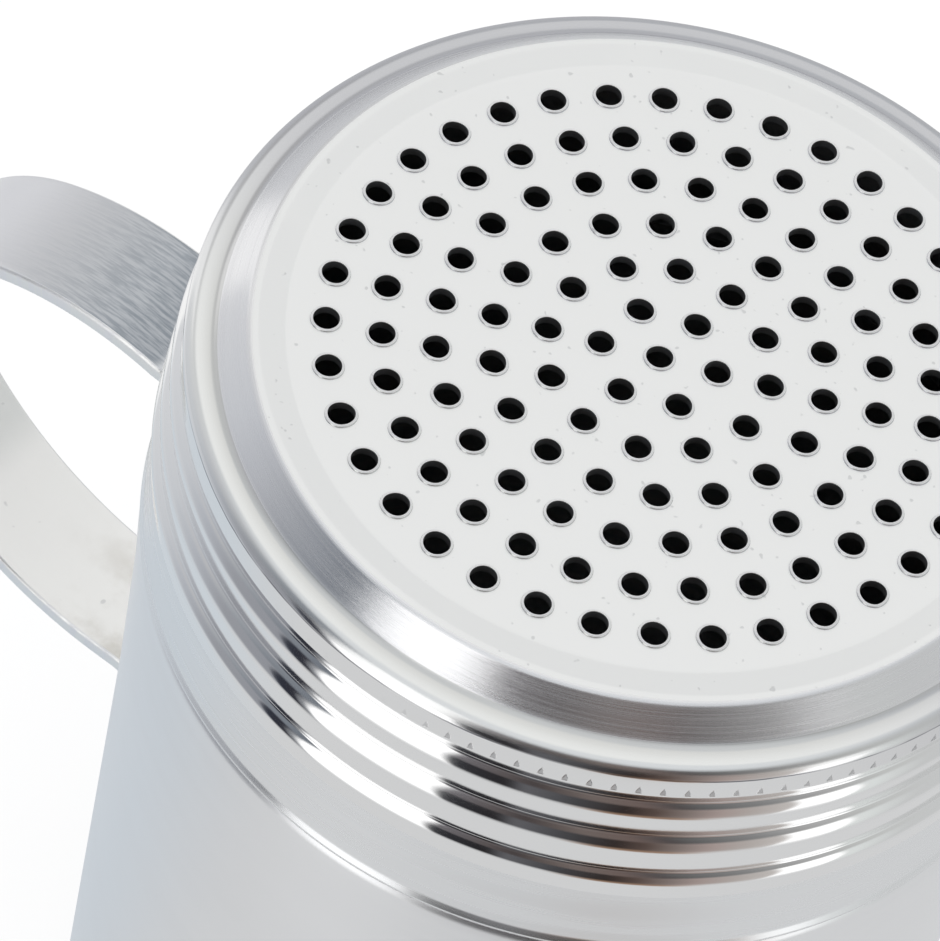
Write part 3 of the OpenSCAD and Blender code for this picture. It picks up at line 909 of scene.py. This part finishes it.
# The table is white to the camera and keeps the shadow. To the metal it is a grey-white table that
# ends a short way off, beyond which the room shows through it.
def makeFloor():
    half, z = floorLook["size"] / 2, -0.02
    sheet = Sheet()
    sheet.add([(-half, -half, z), (half, -half, z), (half, half, z), (-half, half, z)], [[0, 1, 2, 3]])
    material = bpy.data.materials.new("paleTable")
    material.use_nodes = True
    tree = material.node_tree
    tree.nodes.clear()
    place = node(tree, "ShaderNodeTexCoord").outputs["Object"]
    bearing, _ = bearingFromCamera(tree, place)
    length = node(tree, "ShaderNodeVectorMath", operation="LENGTH")
    feed(tree, length.inputs[0], place)
    fade = step(tree, length.outputs["Value"], floorLook["fadeFrom"] * mm, floorLook["fadeTo"] * mm)
    start, end, strength = floorLook["lightStrip"]
    strip = isBetween(tree, bearing, start, end, 14.0)
    cool = isBetween(tree, bearing, *floorLook["coolSide"], 40.0)
    seen = blendColor(tree, cool, (*floorLook["table"], 1), (*floorLook["cool"], 1))
    seen = blendColor(tree, strip, seen, (strength, strength, strength, 1))
    far = step(tree, length.outputs["Value"], floorLook["brownFrom"] * mm, floorLook["brownFrom"] * 1.3 * mm)
    brown = calc(tree, "MULTIPLY", isBetween(tree, bearing, *floorLook["brownSide"], 12.0), far)
    seen = blendColor(tree, brown, seen, (*floorLook["brown"], 1))
    path = node(tree, "ShaderNodeLightPath")
    camera, glossy = path.outputs["Is Camera Ray"], path.outputs["Is Glossy Ray"]
    seen = blendColor(tree, camera, seen, (*[floorLook["bright"]] * 3, 1))
    glow = node(tree, "ShaderNodeEmission")
    feed(tree, glow.inputs["Color"], seen)
    matt = node(tree, "ShaderNodeBsdfDiffuse")
    matt.inputs["Color"].default_value = (*floorLook["matt"], 1)
    shown = node(tree, "ShaderNodeMixShader")
    shine = calc(tree, "MAXIMUM", calc(tree, "MULTIPLY", camera, 1 - floorLook["shadowShare"]), glossy)
    feed(tree, shown.inputs[0], shine)
    feed(tree, shown.inputs[1], matt.outputs[0])
    feed(tree, shown.inputs[2], glow.outputs[0])
    ended = node(tree, "ShaderNodeMixShader")
    feed(tree, ended.inputs[0], calc(tree, "MULTIPLY", glossy, fade))
    feed(tree, ended.inputs[1], shown.outputs[0])
    feed(tree, ended.inputs[2], node(tree, "ShaderNodeBsdfTransparent").outputs[0])
    feed(tree, node(tree, "ShaderNodeOutputMaterial").inputs[0], ended.outputs[0])
    floor = sheet.build("paleFloor", [material], smooth=False)


makeRoom()
makeFloor()

# ---- Camera ----

# Fitted to the holes and rims of the photograph: where it stands, what it looks at on the
# plate's level, how far it is rolled, and its lens for a 36 mm sensor.
cameraPlace = {"stands": (100.03, -235.64, 421.85), "aims": (-4.062, -17.394, 95.0), "roll": 14.21,
               "lens": 221.89}


def makeCamera():
    data = bpy.data.cameras.new("photoCamera")
    data.lens = cameraPlace["lens"]
    data.sensor_width = 36
    data.clip_start, data.clip_end = 0.01, 20
    camera = bpy.data.objects.new("photoCamera", data)
    bpy.context.scene.collection.objects.link(camera)
    stands = Vector(cameraPlace["stands"]) * mm
    aims = Vector(cameraPlace["aims"]) * mm
    facing = (aims - stands).to_track_quat("-Z", "Y").to_matrix().to_4x4()
    roll = Matrix.Rotation(math.radians(cameraPlace["roll"]), 4, "Z")
    camera.matrix_world = Matrix.Translation(stands) @ facing @ roll
    bpy.context.scene.camera = camera


makeCamera()
bpy.context.scene.view_settings.view_transform = "Standard"
print("room, floor and camera made")
